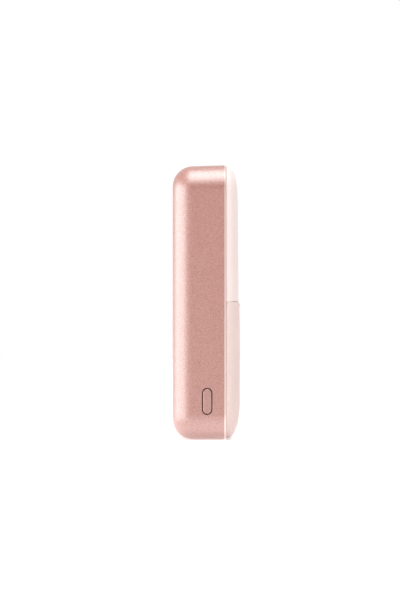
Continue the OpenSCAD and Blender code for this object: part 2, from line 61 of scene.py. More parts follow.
def box_mm(node):
    """Lowest and highest corner of a node at rest, in millimetres."""
    return np.array([list(corner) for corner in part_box(node)]) / MM


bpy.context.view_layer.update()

# Planes and places that the frame gives, in millimetres
SHELL = box_mm("front_shell")
FLAP = box_mm("stand_flap")
BUTTON = box_mm("side_button")
PIN = box_mm("hinge_pin")
LINER = box_mm("stand_liner")
BOARD = box_mm("circuit_board")
USB_A = box_mm("usb_a_shell")
USB_C = box_mm("usb_c_shell")
GUIDE = box_mm("light_guide")
FRONT_X, RIM_X = SHELL[:, X]
HALF_W = SHELL[HIGH, Y]
BODY_H = SHELL[HIGH, Z]
HALF_H = BODY_H / 2
BACK_W = FLAP[HIGH, Y]
BACK_H = HALF_H - FLAP[LOW, Z]
SEAM_LOW = FLAP[HIGH, Z]
HINGE_X = PIN[:, X].mean()
HINGE_Z = PIN[:, Z].mean()
HINGE_R = SEAM_LOW - HINGE_Z

# The seam: its gap, what is seen of it beside the stand's rounded edge, the
# groove at the foot of the back, and the gap between the rim and the stand
SEAM_GAP = 0.3
SEAM_TOP = SEAM_LOW + SEAM_GAP
SEAM_SEEN = 0.1
FOOT_GROOVE = 0.14
STAND_GAP = 0.06

# Posts, bores, pads and knuckles inside, as their solids have them
POST_R, POST_SUNK = 2.6, 0.2
BORE_R, BORE_DEPTH = 0.85, 5
SCREW_HEAD_R, LOW_SCREWS_Y = 1.8, 20.5
SOCKET_CLEAR, USB_A_CORNER = 0.15, 0.1
WINDOW_COUNT = 4
COVER_LIP = 2.6
PAD_R, PAD_SIDE, PAD_LOW, PAD_DROP = 1.6, 18, 10, 9
KNUCKLE_L, KNUCKLE_CLEAR, KNUCKLE_SLOT = 6.4, 0.2, 4
NAIL_R, NAIL_H = 9, 1.1
FLANGE_T, PLUNGER_L, PLUNGER_HALF = 0.8, 0.6, (0.6, 1)

# How far the shapes that cut, and the boxes that paint, run past their piece
PAST = 1

# Rings and points of the two halves of the back, and their least corners
EDGE_STEPS, CROWN_RINGS, SIDE_STEPS, CORNER_STEPS = 28, 5, 13, 12
LEAST_CORNER, CORNER_EASE = 2.5, 1.5
NEAR_SEAM = np.array([0, 0.06, 0.15, 0.3, 0.5, 0.7, 0.9, 1.05, 1.2, 1.6])


# ---------------------------------------------------------------- settings


def linear(red, green, blue):
    """A screen colour, 0 to 255, as the linear colour that a shader takes."""
    share = np.array([red, green, blue]) / 255
    low = share / 12.92
    high = ((share + 0.055) / 1.055) ** 2.4
    return tuple(float(c) for c in np.where(share <= 0.04045, low, high))


def length(name, description, default_mm):
    """A length property whose default is given in millimetres."""
    return bpy.props.FloatProperty(
        name=name, description=description, default=default_mm * MM,
        min=0, precision=5, subtype="DISTANCE", unit="LENGTH",
    )


def colour(name, description, red, green, blue):
    """A colour property whose default is given as a screen colour."""
    return bpy.props.FloatVectorProperty(
        name=name, description=description, default=linear(red, green, blue),
        size=3, min=0, max=1, subtype="COLOR",
    )


def factor(name, description, default):
    """A property that runs from 0 to 1."""
    return bpy.props.FloatProperty(
        name=name, description=description, default=default,
        min=0, max=1, subtype="FACTOR",
    )


class PowerBankShell(bpy.types.PropertyGroup):
    """Front shell and its button."""

    outline: length("Corner Radius", "Radius of the outline's corners", 8)
    edge: length("Edge Radius", "Radius of the rounding round the front face", 6.5)
    wall: length("Wall", "Wall thickness", 1.3)
    bevel: length("Bevel Depth", "Depth of the bright bevel on the rim", 0.7)
    bevel_in: length("Bevel Inset", "How far the bevel cuts in", 0.3)
    slope: length("Top Slope", "Fall of the top end towards the front", 0.5)
    sparkle: length("Sparkle", "Size of a fleck in the blasted metal", 0.15)
    tint: colour("Metal", "Colour of the rose metal", 147, 77, 57)
    # The bevel's pale colour is partly its cut finish and partly a painted highlight.
    bevel_highlight_tint: colour("Bevel", "Colour of the bevel, its cut finish and a painted highlight", 214, 188, 182)
    button_w: length("Button Width", "Width of the button", 2.85)
    button_l: length("Button Length", "Length of the button", 8.2)
    button_gap: length("Button Gap", "Gap round the button", 0.3)
    button_bevel: length("Button Bevel", "Bevel round the button's face", 0.3)
    button_tint: colour("Button", "Colour of the button", 141, 74, 56)
    # The ring's pale colour is partly its cut finish and partly a painted highlight.
    ring_highlight_tint: colour("Button Ring", "Colour of the ring round the button, its cut finish and a painted highlight", 176, 138, 130)
    window: length("Window Radius", "Radius of an indicator window", 0.8)
    window_pitch: length("Window Pitch", "Spacing of the windows", 4)


class PowerBankBack(bpy.types.PropertyGroup):
    """Fixed upper half of the back and the stand below it."""

    outline: length("Corner Radius", "Radius of the outline's corners", 7.6)
    upper_rise: length("Upper Rise", "Height of the fixed half at the seam", 4.07)
    upper_fall: length("Upper Fall", "How much lower that is near the top", 0.27)
    lower_rise: length("Stand Rise", "Greatest height of the stand", 4.58)
    lower_fall: length("Stand Fall", "How much lower the stand is at the seam", 0.25)
    crest: length("Stand Crest", "Height of the stand's fullest place", 22)
    sweep: length("Edge Sweep", "How far the rounded edge runs in", 13)
    wall: length("Wall", "Wall thickness", 1.25)
    upper_tint: colour("Upper Half", "Colour of the fixed upper half", 242, 225, 221)
    lower_tint: colour("Stand", "Colour of the stand", 233, 211, 205)


class PowerBankStage(bpy.types.PropertyGroup):
    """Camera, light of the room and floor."""

    lens: bpy.props.FloatProperty(
        name="Lens", description="Focal length of the camera, in millimetres",
        default=200, min=20, subtype="DISTANCE_CAMERA",
    )
    view_h: length("View Height", "Height of the view at the button's side", 195.7)
    camera_x: length("Camera Left", "How far left of the middle the camera is", 2.14)
    camera_z: length("Camera Height", "Height of the camera above the floor", 45.76)
    room: factor("Room Light", "Strength of the even light of the room", 0.335)
    room_dim: factor("Dim Side", "How bright the darker side of the room is in gloss", 0.35)
    floor_glow: factor("Floor Glow", "Light that the floor adds where it is seen", 0.33)
    floor_gloss: bpy.props.FloatProperty(
        name="Floor Glow in Gloss", description="The same where gloss shows the floor",
        default=1.1, min=0, soft_max=2,
    )
    floor_tint: colour("Floor", "Colour of the floor", 246, 244, 244)


# ---------------------------------------------------------------- surfaces


def rounded_ring(half_u, half_v, radius, steps, slide=0.0):
    """Closed outline of a rounded rectangle round the origin, one row per size.

    A corner's points are its centre plus the radius times the unit vector at an
    angle that runs through 90 degrees. One more point on either side of a corner
    lies slide further along the straight side.
    """
    quarter = np.radians(np.linspace(0, 90, steps + 1))
    turn = np.concatenate([quarter[:1], quarter, quarter[-1:]])
    along = np.zeros(len(turn))
    along[0], along[-1] = -slide, slide
    start = np.radians(90) * np.arange(4)[:, None]
    angle = (start + turn).ravel()
    middle = np.repeat(start.ravel() + np.radians(45), len(turn))
    along = np.tile(along, 4)
    u = np.sign(np.cos(middle)) * (half_u - radius) + radius * np.cos(angle)
    v = np.sign(np.sin(middle)) * (half_v - radius) + radius * np.sin(angle)
    return u - along * np.sin(angle), v + along * np.cos(angle)


def column(values):
    """A profile's values as a column, one row of the grid for each."""
    return np.asarray(values, float).reshape(-1, 1)


def quarter_round(radius, steps):
    """Depth and inset along a quarter circle: r(1 - cos a) and r(1 - sin a)."""
    angle = np.radians(np.linspace(0, 90, steps + 1))
    return radius * (1 - np.cos(angle)), radius * (1 - np.sin(angle))


def skin(name, grid, closed, caps):
    """Closed mesh from a grid of points in millimetres.

    Each cell of the grid is a quad, closed joins the last column to the first,
    and caps are loops of (row, column) runs that flat faces fill.
    """
    rows, columns = grid.shape[:2]
    index = np.arange(rows * columns).reshape(rows, columns)
    ring = np.concatenate([index, index[:, :1]], axis=1) if closed else index
    quads = np.stack([ring[:-1, :-1], ring[:-1, 1:], ring[1:, 1:], ring[1:, :-1]], axis=-1)
    faces = quads.reshape(-1, 4).tolist() + [cap(index).tolist() for cap in caps]
    mesh = bpy.data.meshes.new(name)
    mesh.from_pydata((grid.reshape(-1, 3) * MM).tolist(), [], faces)
    return tidy(name, mesh)


def tidy(name, mesh, merge=1e-7):
    """Object of a mesh whose doubles are merged and whose faces point outwards."""
    work = bmesh.new()
    work.from_mesh(mesh)
    bmesh.ops.remove_doubles(work, verts=work.verts, dist=merge)
    bmesh.ops.recalc_face_normals(work, faces=work.faces)
    work.to_mesh(mesh)
    work.free()
    piece = bpy.data.objects.new(name, mesh)
    bpy.context.scene.collection.objects.link(piece)
    return piece


def solid_ring(name, axis, levels, u, v):
    """Closed solid of stacked outlines: row i of u and v lies at levels[i].

    u and v run along the two other axes in their order in X, Y, Z. The first and
    last outline are filled flat.
    """
    shape = np.broadcast_shapes(u.shape, column(levels).shape)
    across = [np.broadcast_to(part, shape) for part in (u, v)]
    across.insert(axis, np.broadcast_to(column(levels), shape))
    grid = np.stack(across, axis=-1)
    return skin(name, grid, True, [lambda i: i[0], lambda i: i[-1]])


def bar(name, axis, start, end, centre, half_u, half_v, radius=0.0, steps=8):
    """Straight bar along an axis whose section is a rounded rectangle."""
    u, v = rounded_ring(half_u, half_v, radius, steps)
    u, v = np.tile(centre[0] + u, (2, 1)), np.tile(centre[1] + v, (2, 1))
    return solid_ring(name, axis, [start, end], u, v)


def rod(name, axis, start, end, centre, radius, steps=12):
    """Straight round bar along an axis."""
    return bar(name, axis, start, end, centre, radius, radius, radius, steps)


def carve(piece, tools, operation="DIFFERENCE"):
    """Cuts tools out of a piece, or adds them, and removes them from the scene."""
    for tool in tools:
        cut = piece.modifiers.new("carve", "BOOLEAN")
        cut.operation = operation
        cut.solver = "EXACT"
        cut.object = tool
    finished = piece.evaluated_get(bpy.context.evaluated_depsgraph_get())
    old, mesh = piece.data, bpy.data.meshes.new_from_object(finished)
    piece.modifiers.clear()
    piece.data = mesh
    mesh.name = piece.name
    bpy.data.meshes.remove(old)
    for tool in tools:
        bpy.data.meshes.remove(tool.data)
    return piece


def smooth(piece, angle=28):
    """Shades a piece smooth, with hard edges above an angle in degrees."""
    piece.data.shade_smooth()
    piece.data.set_sharp_from_angle(angle=math.radians(angle))
    return piece


def seat(piece, body, slot, material, *nodes):
    """Gives a finished piece its body and material, and hides the nodes it stands for. slot is not
    used.
    """
    piece.data.materials.clear()
    piece.data.materials.append(material)
    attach(piece, body)
    if nodes:
        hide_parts(*nodes)
    return piece


def paint(piece, material, low, high):
    """Gives a second material to the faces whose middle lies in a box, in millimetres."""
    piece.data.materials.append(material)
    count = len(piece.data.polygons)
    middle, chosen = np.empty(3 * count), np.empty(count, np.int32)
    piece.data.polygons.foreach_get("center", middle)
    piece.data.polygons.foreach_get("material_index", chosen)
    middle = middle.reshape(-1, 3) / MM
    inside = np.all((middle > low) & (middle < high), axis=1)
    chosen[inside] = len(piece.data.materials) - 1
    piece.data.polygons.foreach_set("material_index", chosen)
    piece.data.update()


def half_dome(name, side, seam, width, height, radius, rise_at, base, sweep, *,
              fullness=2.3, skirt=0.0, barrel=0.0, edge=0.0, groove=0.0):
    """Closed solid under one half of the domed back.

    Rings of the rounded outline, open at the seam, draw in by an inset while they
    rise. Along the edge both follow a superellipse: the inset is the sweep times
    1 - cos(a)^n and the rise is rise_at(height) times sin(a)^n, where n is 2 over
    the fullness. Then the rings go on to the middle at the full rise. side is 1
    for the upper half, -1 for the lower one.

    skirt carries the foot on below the base, and groove draws a step in round it.
    barrel keeps the end at the seam inside a circle of that radius round the
    hinge's axis, and edge is the radius of the rounding at the seam.
    """
    angle = np.radians(np.linspace(0, 90, EDGE_STEPS + 1))
    power = 2 / fullness
    inset = column([groove, groove, 0, *(sweep * (1 - np.cos(angle) ** power)),
                    *np.linspace(sweep, width, CROWN_RINGS + 1)[1:]])
    up = column([0, 0, 0, *(np.sin(angle) ** power), *np.ones(CROWN_RINGS)])

    # The corner radius shrinks with the inset, and eases to the least radius
    spare = radius - inset
    corner = (spare + LEAST_CORNER + np.hypot(spare - LEAST_CORNER, CORNER_EASE)) / 2
    corner = np.minimum(corner, width - inset)

    # Each ring goes up one side, round two corners and down the other side
    start = side * (seam - HALF_H)
    top = height - inset - corner
    near = start + NEAR_SEAM
    share = np.linspace(0, 1, SIDE_STEPS + 1)[1:]
    leg_v = np.concatenate([np.broadcast_to(near, (len(inset), len(near))),
                            near[-1] + share * (top - near[-1])], axis=1)
    leg_u = np.broadcast_to(width - inset, leg_v.shape)
    turn = np.radians(np.linspace(0, 90, CORNER_STEPS + 1))
    arc_u = width - inset - corner + corner * np.cos(turn)
    arc_v = top + corner * np.sin(turn)
    u = np.concatenate([leg_u, arc_u, -arc_u[:, ::-1], -leg_u[:, ::-1]], axis=1)
    v = np.concatenate([leg_v, arc_v, arc_v[:, ::-1], leg_v[:, ::-1]], axis=1)
    z = HALF_H + side * v

    x = RIM_X + rise_at(z) * up
    if barrel:
        over = np.clip(z - HINGE_Z, 0, barrel)
        x = np.where(over > 0, np.minimum(x, HINGE_X + np.sqrt(barrel**2 - over**2)), x)
        base = HINGE_X - np.sqrt((HINGE_X - base) ** 2 - over**2)
    if edge:
        near_seam = edge - np.clip(v - start, 0, edge)
        x = x - (edge - np.sqrt(edge**2 - near_seam**2))
    foot = base if np.isscalar(base) else base[0]
    x = np.maximum(x, base + groove)
    x[0] = foot - skirt
    grid = np.stack([x, u, z], axis=-1)
    caps = [lambda i: i[0], lambda i: np.concatenate([i[:, 0], i[::-1, -1]])]
    return skin(name, grid, False, caps)


# ---------------------------------------------------------------- finishes


def surface(name, tint, **look):
    """Finish with two close tones in a fine pattern on Object coordinates.

    pattern is the texture's node, scale its frequency per metre, stretch its
    scale along X, Y and Z, and band the part of its range in which the tone
    changes. spread is the share by which the tones depart from the tint, one for
    all channels or one for each. vary and glint do the same for the roughness and
    the specular level. bump is the height of the relief in metres.
    """
    material = bpy.data.materials.new(name)
    material.use_nodes = True
    tree = material.node_tree
    shader = tree.nodes["Principled BSDF"]
    for socket, value in (
        ("Metallic", look.get("metallic", 0.0)),
        ("IOR", look.get("ior", 1.5)),
        ("Transmission Weight", look.get("clear", 0.0)),
        ("Coat Weight", look.get("coat", 0.0)),
        ("Coat Roughness", look.get("coat_roughness", 0.25)),
    ):
        shader.inputs[socket].default_value = value

    place = tree.nodes.new("ShaderNodeTexCoord")
    stretch = tree.nodes.new("ShaderNodeMapping")
    stretch.inputs["Scale"].default_value = look.get("stretch", (1, 1, 1))
    pattern = tree.nodes.new(look.get("pattern", "ShaderNodeTexNoise"))
    pattern.inputs["Scale"].default_value = look.get("scale", 2000)
    tree.links.new(place.outputs["Object"], stretch.inputs["Vector"])
    tree.links.new(stretch.outputs["Vector"], pattern.inputs["Vector"])
    parts = tree.nodes.new("ShaderNodeSeparateColor")
    tree.links.new(pattern.outputs["Color"], parts.inputs["Color"])

    tint = np.array(tint)
    spread = np.broadcast_to(look.get("spread", 0.06), 3)
    tones = tree.nodes.new("ShaderNodeValToRGB")
    low, high = tones.color_ramp.elements
    low.position, high.position = look.get("band", (0.3, 0.7))
    low.color = [*(tint * (1 - spread)), 1]
    high.color = [*np.minimum(tint * (1 + spread), 1), 1]
    tree.links.new(parts.outputs["Red"], tones.inputs["Fac"])
    tree.links.new(tones.outputs["Color"], shader.inputs["Base Color"])

    spans = [("Green", "Roughness", look.get("roughness", 0.5), look.get("vary", 0.04))]
    if look.get("glint"):
        spans.append(("Red", "Specular IOR Level", 0.5, look["glint"]))
    for source, target, centre, reach in spans:
        span = tree.nodes.new("ShaderNodeMapRange")
        span.inputs["To Min"].default_value = centre - reach
        span.inputs["To Max"].default_value = centre + reach
        tree.links.new(parts.outputs[source], span.inputs["Value"])
        tree.links.new(span.outputs["Result"], shader.inputs[target])

    if look.get("bump"):
        relief = tree.nodes.new("ShaderNodeBump")
        relief.inputs["Distance"].default_value = look["bump"]
        relief.inputs["Strength"].default_value = look.get("strength", 0.5)
        tree.links.new(parts.outputs["Red"], relief.inputs["Height"])
        tree.links.new(relief.outputs["Normal"], shader.inputs["Normal"])
    return material


def fleck_scale(size_m):
    """Frequency per metre of a cell pattern whose cells have that size."""
    return 1 / size_m


def blasted_metal(name, tint, sparkle):
    """Fine blasted rose metal: small bright and dark flecks under a thin coat."""
    return surface(
        name, tint, ior=2.5, roughness=0.46, vary=0.05, coat=0.8, coat_roughness=0.42,
        pattern="ShaderNodeTexVoronoi", scale=fleck_scale(sparkle),
        spread=(0.22, 0.6, 0.95), band=(0.1, 0.9), glint=0.09, bump=0.000006, strength=0.08,
    )


def cut_metal_and_highlight(name, tint):
    """Metal of a turned bevel with fine lines along it, pale partly for its cut finish and partly as
    a painted highlight.
    """
    return surface(
        name, tint, metallic=0.6, roughness=0.34, vary=0.03, coat=0.4,
        scale=5000, spread=0.03, stretch=(8, 1, 1), bump=0.000002, strength=0.2,
    )


def groove_painted_shade():
    """Painted shade in the groove round the button: a dark metal colour on walls that two pieces
    share.
    """
    name = "painted shade in the groove"
    return bpy.data.materials.get(name) or surface(
        name, linear(96, 52, 45), metallic=0.4, roughness=0.6, scale=3000, spread=0.1,
        bump=0.000004,
    )


def pale_satin(name, tint):
    """Pale satin paint with a faint grain."""
    return surface(
        name, tint, ior=1.25, roughness=0.5,
        scale=3000, spread=0.05, bump=0.000004, strength=0.2,
    )


def moulded(name, red, green, blue, **more):
    """Moulded plastic with a light spark-eroded grain."""
    look = dict(roughness=0.55, scale=4200, spread=0.1, bump=0.00001, strength=0.4)
    return surface(name, linear(red, green, blue), **{**look, **more})


def brushed(name, red, green, blue, **more):
    """Drawn metal: the pattern is stretched along one direction."""
    look = dict(metallic=1.0, roughness=0.3, vary=0.08, scale=900, spread=0.08,
                stretch=(6, 6, 0.4), bump=0.000003, strength=0.2)
    return surface(name, linear(red, green, blue), **{**look, **more})


def dress(material, *nodes):
    """Gives CAD nodes a material."""
    for node in nodes:
        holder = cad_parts[node]
        if not holder.material_slots:
            holder.data.materials.append(material)
        for holder_slot in holder.material_slots:
            holder_slot.material = material


def settings(name):
    """One of the scene's setting groups."""
    return getattr(bpy.context.scene, name)


def mm(value):
    """A length property in millimetres."""
    return value / MM


# ---------------------------------------------------------------- operators


class POWERBANK_OT_front_shell(bpy.types.Operator):
    """Rounded front shell with its bevel, windows, sockets' openings and posts"""

    bl_idname = "powerbank.front_shell"
    bl_label = "Front Shell"

    def execute(self, context):
        kit = settings("powerbank_shell")
        wall, edge, outline = mm(kit.wall), mm(kit.edge), mm(kit.outline)
        bevel, bevel_in = mm(kit.bevel), mm(kit.bevel_in)
        steps, corner_steps, hold = 18, 14, 0.3
        out_x, out_in = quarter_round(edge, steps)
        in_x, in_in = quarter_round(edge - wall, steps)
        inner_x = FRONT_X + wall
        x = column([
            FRONT_X, *(FRONT_X + out_x), FRONT_X + edge + hold, RIM_X - bevel - hold,
            RIM_X - bevel, RIM_X, RIM_X, *(inner_x + in_x[::-1]), inner_x,
        ])
        inset = column([
            edge + hold, *out_in, 0, 0, 0, bevel_in, wall, *(wall + in_in[::-1]), edge + hold,
        ])
        u, v = rounded_ring(HALF_W - inset, HALF_H - inset, outline - inset, corner_steps, hold)
        fall = mm(kit.slope) * np.clip((RIM_X - bevel - x) / (RIM_X - bevel - FRONT_X), 0, 1)
        z = HALF_H + v * np.where(v > 0, 1 - fall / HALF_H, 1)
        shell = solid_ring("front_shell_skin", X, x, u, z)
        carve(shell, self.posts(inner_x), "UNION")
        carve(shell, self.openings(kit, wall, inner_x))
        metal = blasted_metal("rose metal", kit.tint, kit.sparkle)
        seat(smooth(shell), "housing", "shell", metal, "front_shell")

        # The middles of the bevel's faces lie half way down it, and those of the
        # button hole's faces behind the flat side
        margin, behind = bevel / 4, 0.01
        # The bevel is painted pale, partly for its cut finish and partly as a painted highlight.
        paint(shell, cut_metal_and_highlight("bevel metal with painted highlight", kit.bevel_highlight_tint),
              [RIM_X - bevel + margin, -HALF_W, 0], [RIM_X - margin, HALF_W, BODY_H])
        # The button hole's walls are painted dark: painted shade in the groove.
        paint(shell, groove_painted_shade(),
              [BUTTON[LOW, X], behind - HALF_W, BUTTON[LOW, Z]], BUTTON[HIGH])
        return {"FINISHED"}

    def posts(self, inner_x):
        """Round posts that carry the circuit board."""
        return [rod("post", X, inner_x - POST_SUNK, BOARD[LOW, X], place, POST_R)
                for place in screw_places()]

    def openings(self, kit, wall, inner_x):
        """Screw bores, button hole, two sockets' holes and the row of windows."""
        gap = mm(kit.button_gap)
        half_w, half_l = mm(kit.button_w) / 2 + gap, mm(kit.button_l) / 2 + gap
        middle = BUTTON.mean(axis=0)
        tools = [rod("bore", X, BOARD[LOW, X] - BORE_DEPTH, BOARD[LOW, X] + PAST, place, BORE_R)
                 for place in screw_places()]
        tools.append(bar("button hole", Y, -HALF_W - PAST, -HALF_W + wall + PAST,
                         middle[[X, Z]], half_w, half_l, half_w, steps=12))
        for socket, radius in ((USB_A, USB_A_CORNER), (USB_C, None)):
            half = (socket[HIGH] - socket[LOW])[:2] / 2 + SOCKET_CLEAR
            tools.append(bar("socket hole", Z, -PAST, wall + PAST, socket.mean(axis=0)[:2],
                             half[X], half[Y], half[X] if radius is None else radius))
        guide = GUIDE.mean(axis=0)
        for i in range(WINDOW_COUNT):
            side = (i - (WINDOW_COUNT - 1) / 2) * mm(kit.window_pitch)
            tools.append(rod("window", X, FRONT_X - PAST, inner_x + PAST,
                             (guide[Y] + side, guide[Z]), mm(kit.window)))
        return tools


def screw_places():
    """Sideways place and height of the four cover screws, from the screws' box."""
    box = box_mm("cover_screws")
    high_y = box[HIGH, Y] - SCREW_HEAD_R
    low_z, high_z = box[LOW, Z] + SCREW_HEAD_R, box[HIGH, Z] - SCREW_HEAD_R
    return [(s * y, z) for y, z in ((LOW_SCREWS_Y, low_z), (high_y, high_z)) for s in (-1, 1)]


class POWERBANK_OT_back_cover(bpy.types.Operator):
    """Fixed upper half of the back, with the floor and knuckles under the stand"""

    bl_idname = "powerbank.back_cover"
    bl_label = "Back Cover"

    def execute(self, context):
        kit = settings("powerbank_back")
        wall, sweep, outline = mm(kit.wall), mm(kit.sweep), mm(kit.outline)
        rise, fall = mm(kit.upper_rise), mm(kit.upper_fall)
        fullness, edge = 2.4, 0.25

        def rise_at(z):
            """Full at the seam, and lower in a straight line to the top end."""
            return rise - fall * np.clip((z - SEAM_TOP) / (BODY_H - SEAM_TOP), 0, 1)

        dome = half_dome("back_cover_skin", 1, SEAM_LOW + SEAM_SEEN, BACK_W, BACK_H, outline,
                         rise_at, RIM_X, sweep, fullness=fullness, edge=edge, groove=FOOT_GROOVE)
        hollow = half_dome("hollow", 1, SEAM_TOP + wall, HALF_W - COVER_LIP, HALF_H - COVER_LIP,
                           outline - COVER_LIP, lambda z: rise_at(z) - wall, RIM_X, sweep - wall,
                           fullness=fullness, skirt=PAST)
        carve(dome, [hollow])
        satin = pale_satin("pale satin", kit.upper_tint)
        seat(smooth(dome), "housing", "back", satin, "back_cover")

        # The floor, lip and knuckles keep the form that the node gives them
        floor = tidy("back_floor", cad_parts["back_cover"].data.copy(), merge=1e-6)
        above = bar("above", X, RIM_X, HINGE_X + 2 * HINGE_R, (0, (SEAM_TOP + BODY_H + PAST) / 2),
                    HALF_W + PAST, (BODY_H + PAST - SEAM_TOP) / 2)
        carve(floor, [above])
        seat(smooth(floor), "housing", "back", satin)
        return {"FINISHED"}


class POWERBANK_OT_stand(bpy.types.Operator):
    """Fold-out stand, notched for the fixed knuckles, and its inner plate"""

    bl_idname = "powerbank.stand"
    bl_label = "Stand"

    def execute(self, context):
        kit = settings("powerbank_back")
        wall, sweep, outline = mm(kit.wall), mm(kit.sweep), mm(kit.outline)
        rise, fall, crest = mm(kit.lower_rise), mm(kit.lower_fall), mm(kit.crest)
        lift = FLAP[LOW, X]

        def rise_at(z):
            """Fullest at the crest, and lower as the square of the way to the seam."""
            return rise - fall * (np.clip(z - crest, 0, None) / (SEAM_LOW - crest)) ** 2

        flap = half_dome("stand_skin", -1, SEAM_LOW, BACK_W, BACK_H, outline, rise_at,
                         RIM_X + STAND_GAP, sweep, barrel=HINGE_R)
        hollow = half_dome("hollow", -1, HINGE_Z - HINGE_R, BACK_W - wall, BACK_H - wall,
                           outline - wall, lambda z: rise_at(z) - wall, RIM_X, sweep - wall,
                           skirt=PAST)
        carve(flap, [hollow])
        carve(flap, self.pads(rise - wall / 2), "UNION")
        carve(flap, self.notches(lift, wall))
        satin = pale_satin("pale satin of the stand", kit.lower_tint)
        seat(smooth(flap), "stand", "back", satin, "stand_flap")
        dress(satin, "stand_liner")
        return {"FINISHED"}

    def pads(self, up):
        """Round pads that carry the inner plate."""
        return [rod("pad", X, LINER[HIGH, X], RIM_X + up, (s * PAD_SIDE, z), PAD_R)
                for s in (-1, 1) for z in (PAD_LOW, HINGE_Z - PAD_DROP)]

    def notches(self, lift, wall):
        """Room for the two fixed knuckles, the pin's bore and the nail scoop."""
        clear = KNUCKLE_CLEAR
        half = (KNUCKLE_L + clear) / 2
        axis = (HINGE_X, HINGE_Z)
        tools = [rod("bore", Y, PIN[LOW, Y] - clear / 2, PIN[HIGH, Y] + clear / 2, axis,
                     (PIN[HIGH, X] - PIN[LOW, X]) / 2 + clear / 4)]
        for s in (-1, 1):
            ends = s * KNUCKLE_L - half, s * KNUCKLE_L + half
            tools.append(rod("ring", Y, *ends, axis, HINGE_R + clear))
            tools.append(bar("slot", Y, *ends, (HINGE_X, HINGE_Z + PAST), KNUCKLE_SLOT + PAST, PAST))
        tools.append(rod("scoop", X, RIM_X, lift + wall,
                         (0, FLAP[LOW, Z] + NAIL_H - NAIL_R), NAIL_R, steps=48))
        return tools


class POWERBANK_OT_button(bpy.types.Operator):
    """Long side button with its bevel, flange and plunger, and the switch's stem"""

    bl_idname = "powerbank.button"
    bl_label = "Side Button"

    def execute(self, context):
        kit = settings("powerbank_shell")
        half_w, half_l, bevel = mm(kit.button_w) / 2, mm(kit.button_l) / 2, mm(kit.button_bevel)
        middle = BUTTON.mean(axis=0)
        hold, bevel_steps, corner_steps, sunk = 0.15, 6, 14, 0.1
        rise, inset = quarter_round(bevel, bevel_steps)
        front = BUTTON[LOW, Y]
        back = BUTTON[HIGH, Y] - PLUNGER_L
        flange = half_w - (BUTTON[HIGH, X] - BUTTON[LOW, X]) / 2
        y = column([front, *(front + rise), front + bevel + hold, back - FLANGE_T,
                    back - FLANGE_T, back])
        inset = column([bevel + hold, *inset, 0, 0, flange, flange])
        u, v = rounded_ring(half_w - inset, half_l - inset, half_w - inset, corner_steps)
        key = solid_ring("side_button_skin", Y, y, middle[X] + u, middle[Z] + v)
        carve(key, [bar("plunger", Y, back - sunk, BUTTON[HIGH, Y], middle[[X, Z]],
                        *PLUNGER_HALF)], "UNION")
        metal = blasted_metal("button metal", kit.button_tint, kit.sparkle)
        seat(smooth(key), "button", "button", metal, "side_button")

        # The bevel's faces begin just behind the flat face, and the sides behind them
        low, high = BUTTON[LOW] - PAST, BUTTON[HIGH] + PAST
        behind = 0.02
        ring, shaft = front + behind, front + bevel + hold / 2
        # The ring round the button's face is painted pale, partly for its cut finish and partly as a
        # painted highlight.
        paint(key, cut_metal_and_highlight("button ring metal with painted highlight", kit.ring_highlight_tint),
              [low[X], ring, low[Z]], [high[X], shaft, high[Z]])
        # The button's sides and flange are painted dark: painted shade in the groove.
        paint(key, groove_painted_shade(), [low[X], shaft, low[Z]], high)
        dress(moulded("dark plastic", 58, 58, 60), "switch_stem")
        return {"FINISHED"}


class POWERBANK_OT_fittings(bpy.types.Operator):
    """Hinge pin, magnet, steel disc, cover screws and the switch's can"""

    bl_idname = "powerbank.fittings"
    bl_label = "Hinge and Screws"

    def execute(self, context):
        dress(brushed("drawn steel", 176, 178, 182),
              "hinge_pin", "stand_magnet", "catch_disc", "cover_screws", "switch_body")
        return {"FINISHED"}


class POWERBANK_OT_board(bpy.types.Operator):
    """Circuit boards with their sockets, chips and lights, and the cells' tabs"""

    bl_idname = "powerbank.board"
    bl_label = "Circuit Board"

    def execute(self, context):
        mask = surface(
            "solder mask", linear(24, 92, 62), roughness=0.32, pattern="ShaderNodeTexVoronoi",
            scale=420, spread=0.35, band=(0.4, 0.5), bump=0.00002,
        )
        dress(mask, "circuit_board", "protection_board")
        nickel = brushed("nickel plate", 190, 190, 187, roughness=0.22)
        dress(nickel, "usb_a_shell", "usb_c_shell", "cell_tabs")
        dress(brushed("gold plate", 214, 178, 96, roughness=0.25), "usb_a_contacts")
        dress(moulded("white plastic", 236, 236, 232), "usb_a_tongue", "indicator_leds")
        dress(moulded("black plastic", 52, 52, 54), "usb_c_tongue")
        epoxy = moulded("mould epoxy", 42, 42, 45, roughness=0.6, scale=7000)
        dress(epoxy, "controller_chips", "power_inductor")
        ceramic = surface("fired ceramic", linear(176, 138, 90), scale=5200, spread=0.12)
        dress(ceramic, "capacitors")
        frosted = surface(
            "frosted clear", linear(228, 232, 234), roughness=0.35, clear=0.6, ior=1.49,
            scale=2600, spread=0.03,
        )
        dress(frosted, "light_guide")
        return {"FINISHED"}


class POWERBANK_OT_cells(bpy.types.Operator):
    """Two pouch cells with their frame, tape, pad and leads"""

    bl_idname = "powerbank.cells"
    bl_label = "Cells"

    def execute(self, context):
        foil = surface(
            "pouch foil", linear(201, 206, 210), metallic=0.85, roughness=0.38, vary=0.1,
            scale=160, bump=0.00012,
        )
        dress(foil, "front_cell", "rear_cell")
        tape = surface(
            "foam tape", linear(222, 218, 196), roughness=0.8, scale=1500, spread=0.08,
            bump=0.00002,
        )
        dress(tape, "cell_tape")
        foam = surface(
            "soft foam", linear(66, 66, 68), roughness=0.95, pattern="ShaderNodeTexVoronoi",
            scale=2200, spread=0.3, bump=0.00006, strength=0.8,
        )
        dress(foam, "cell_pad")
        dress(moulded("frame plastic", 56, 56, 58), "cell_frame")
        dress(moulded("red sleeve", 172, 44, 38, roughness=0.5), "positive_lead")
        dress(moulded("black sleeve", 40, 40, 42, roughness=0.5), "negative_lead")
        return {"FINISHED"}


